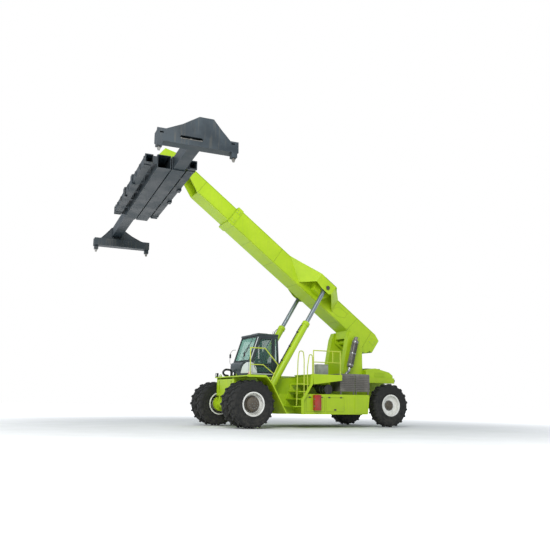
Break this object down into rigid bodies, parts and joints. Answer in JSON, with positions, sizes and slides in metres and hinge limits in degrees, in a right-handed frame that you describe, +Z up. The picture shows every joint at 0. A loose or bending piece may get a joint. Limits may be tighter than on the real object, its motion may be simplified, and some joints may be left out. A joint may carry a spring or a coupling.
{
  "type": "reach stacker with telescopic boom and top-lift spreader",
  "caption": "Port reach stacker: lime telescopic boom held up by two cylinders, dark spreader slewed at its head, dual front wheels, steered rear wheels",
  "frame": {"origin": "on the ground under the centre of the whole machine's bounding box", "axes": "+X is the driving direction, +Y the machine's left, +Z up"},
  "size_m": [12.2184, 12.3434, 10.3403],
  "materials": {
    "lime_paint": "satin",
    "yellow_rail": "satin",
    "spreader_paint": "satin",
    "grey_paint": "satin",
    "red_paint": "satin",
    "white_rim": "satin",
    "tyre_rubber": "matte",
    "axle_iron": "matte",
    "chrome_rod": "polished",
    "lock_steel": "satin",
    "window_glass": "gloss",
    "seat_fabric": "matte",
    "black_plastic": "matte",
    "lamp_plastic": "gloss"
  },
  "bodies": {
    "chassis": {"main_frame": "lime_paint", "boom_towers": "lime_paint", "counterweight": "lime_paint", "rear_hood": "lime_paint", "front_deck": "lime_paint", "side_boxes": "lime_paint", "walkways": "lime_paint", "guardrails": "yellow_rail", "cab_handrails": "yellow_rail", "drive_axle": "axle_iron", "steer_axle": "axle_iron", "engine_block": "axle_iron", "gearbox": "axle_iron", "engine_deck": "lime_paint", "cab_base": "lime_paint", "cab_shell": "lime_paint", "cab_roof": "lime_paint", "cab_glass": "window_glass", "cab_seat": "seat_fabric", "cab_controls": "black_plastic", "air_cleaner": "black_plastic", "heat_shield": "grey_paint", "exhaust_stack": "grey_paint", "extinguisher_box": "red_paint", "valve_box": "grey_paint", "lamps": "lamp_plastic"},
    "boom": {"boom_outer": "lime_paint"},
    "boom_inner": {"boom_inner": "lime_paint"},
    "head": {"head_link": "lime_paint"},
    "rotator": {"rotator": "spreader_paint"},
    "slope_frame": {"slope_frame": "spreader_paint"},
    "spreader": {"spreader_frame": "spreader_paint"},
    "end_left": {"end_beam_left": "spreader_paint", "twist_locks_left": "lock_steel"},
    "end_right": {"end_beam_right": "spreader_paint", "twist_locks_right": "lock_steel"},
    "front_wheels_left": {"front_tyres_left": "tyre_rubber", "front_rims_left": "white_rim"},
    "rear_wheel_left": {"rear_tyre_left": "tyre_rubber", "rear_rim_left": "white_rim"},
    "knuckle_left": {"knuckle_left": "axle_iron"},
    "lift_barrel_left": {"lift_barrel_left": "lime_paint"},
    "lift_rod_left": {"lift_rod_left": "chrome_rod"},
    "cab_door_left": {"cab_door_left": "lime_paint", "door_glass_left": "window_glass"},
    "front_wheels_right": {"front_tyres_right": "tyre_rubber", "front_rims_right": "white_rim"},
    "rear_wheel_right": {"rear_tyre_right": "tyre_rubber", "rear_rim_right": "white_rim"},
    "knuckle_right": {"knuckle_right": "axle_iron"},
    "lift_barrel_right": {"lift_barrel_right": "lime_paint"},
    "lift_rod_right": {"lift_rod_right": "chrome_rod"},
    "cab_door_right": {"cab_door_right": "lime_paint", "door_glass_right": "window_glass"}
  },
  "joints": [
    {"name": "boom_lift", "type": "hinge", "parent": "chassis", "child": "boom", "pos_m": [-4.25, 0, 3.45], "axis": [0, -1, 0], "range_deg": [-33, 23]},
    {"name": "boom_telescope", "type": "slide", "parent": "boom", "child": "boom_inner", "axis": [0.8141, 0, 0.5807], "range_m": [-2, 4.4]},
    {"name": "head_tilt", "type": "hinge", "parent": "boom_inner", "child": "head", "pos_m": [4.43661, 0, 9.6461], "axis": [0, -1, 0], "range_deg": [-23, 33]},
    {"name": "slew", "type": "hinge", "parent": "head", "child": "rotator", "pos_m": [4.43661, 0, 9.3961], "axis": [0, 0, 1], "range_deg": [-25.6, 19.4]},
    {"name": "pile_slope", "type": "hinge", "parent": "rotator", "child": "slope_frame", "pos_m": [4.43661, 0, 9.0761], "axis": [0.9971, -0.0767, 0], "range_deg": [-7.4, 2.6]},
    {"name": "side_shift", "type": "slide", "parent": "slope_frame", "child": "spreader", "axis": [0.0767, 0.9962, 0.0419], "range_m": [-0.8, 0.8]},
    {"name": "spread_left", "type": "slide", "parent": "spreader", "child": "end_left", "axis": [0.0767, 0.9962, 0.0419], "range_m": [-3.067, 0]},
    {"name": "spread_right", "type": "slide", "parent": "spreader", "child": "end_right", "axis": [-0.0767, -0.9962, -0.0419], "range_m": [-3.067, 0]},
    {"name": "lift_barrel_swing_left", "type": "hinge", "parent": "chassis", "child": "lift_barrel_left", "pos_m": [-0.04, 1, 1.18], "axis": [0, -1, 0], "range_deg": [-4, 3]},
    {"name": "lift_rod_travel_left", "type": "slide", "parent": "lift_barrel_left", "child": "lift_rod_left", "axis": [-0.5173, 0, 0.8558], "range_m": [-1.41, 1.07]},
    {"name": "lift_barrel_swing_right", "type": "hinge", "parent": "chassis", "child": "lift_barrel_right", "pos_m": [-0.04, -1, 1.18], "axis": [0, -1, 0], "range_deg": [-4, 3]},
    {"name": "lift_rod_travel_right", "type": "slide", "parent": "lift_barrel_right", "child": "lift_rod_right", "axis": [-0.5173, 0, 0.8558], "range_m": [-1.41, 1.07]},
    {"name": "steer_left", "type": "hinge", "parent": "chassis", "child": "knuckle_left", "pos_m": [-5.25, 1.2, 0.85], "axis": [0, 0, 1], "range_deg": [-55, 55]},
    {"name": "steer_right", "type": "hinge", "parent": "chassis", "child": "knuckle_right", "pos_m": [-5.25, -1.2, 0.85], "axis": [0, 0, 1], "range_deg": [-55, 55]},
    {"name": "front_wheels_left_spin", "type": "hinge", "parent": "chassis", "child": "front_wheels_left", "pos_m": [1, 1.5, 0.85], "axis": [0, 1, 0], "continuous": true},
    {"name": "rear_wheel_left_spin", "type": "hinge", "parent": "knuckle_left", "child": "rear_wheel_left", "pos_m": [-5.25, 1.5, 0.85], "axis": [0, 1, 0], "continuous": true},
    {"name": "front_wheels_right_spin", "type": "hinge", "parent": "chassis", "child": "front_wheels_right", "pos_m": [1, -1.5, 0.85], "axis": [0, 1, 0], "continuous": true},
    {"name": "rear_wheel_right_spin", "type": "hinge", "parent": "knuckle_right", "child": "rear_wheel_right", "pos_m": [-5.25, -1.5, 0.85], "axis": [0, 1, 0], "continuous": true},
    {"name": "cab_door_left_hinge", "type": "hinge", "parent": "chassis", "child": "cab_door_left", "pos_m": [-0.434, 0.78, 2.6], "axis": [0, 0, 1], "range_deg": [0, 60]},
    {"name": "cab_door_right_hinge", "type": "hinge", "parent": "chassis", "child": "cab_door_right", "pos_m": [-0.434, -0.78, 2.6], "axis": [0, 0, -1], "range_deg": [0, 60]}
  ],
  "couplings": [
    {"joint": "head_tilt", "follows": "boom_lift", "ratio": -1},
    {"joint": "spread_right", "follows": "spread_left", "ratio": 1},
    {"joint": "steer_right", "follows": "steer_left", "ratio": 1},
    {"joint": "lift_barrel_swing_left", "follows": "boom_lift", "ratio": 0.11},
    {"joint": "lift_rod_travel_left", "follows": "boom_lift", "m_per_rad": 2.44},
    {"joint": "lift_barrel_swing_right", "follows": "boom_lift", "ratio": 0.11},
    {"joint": "lift_rod_travel_right", "follows": "boom_lift", "m_per_rad": 2.44}
  ]
}
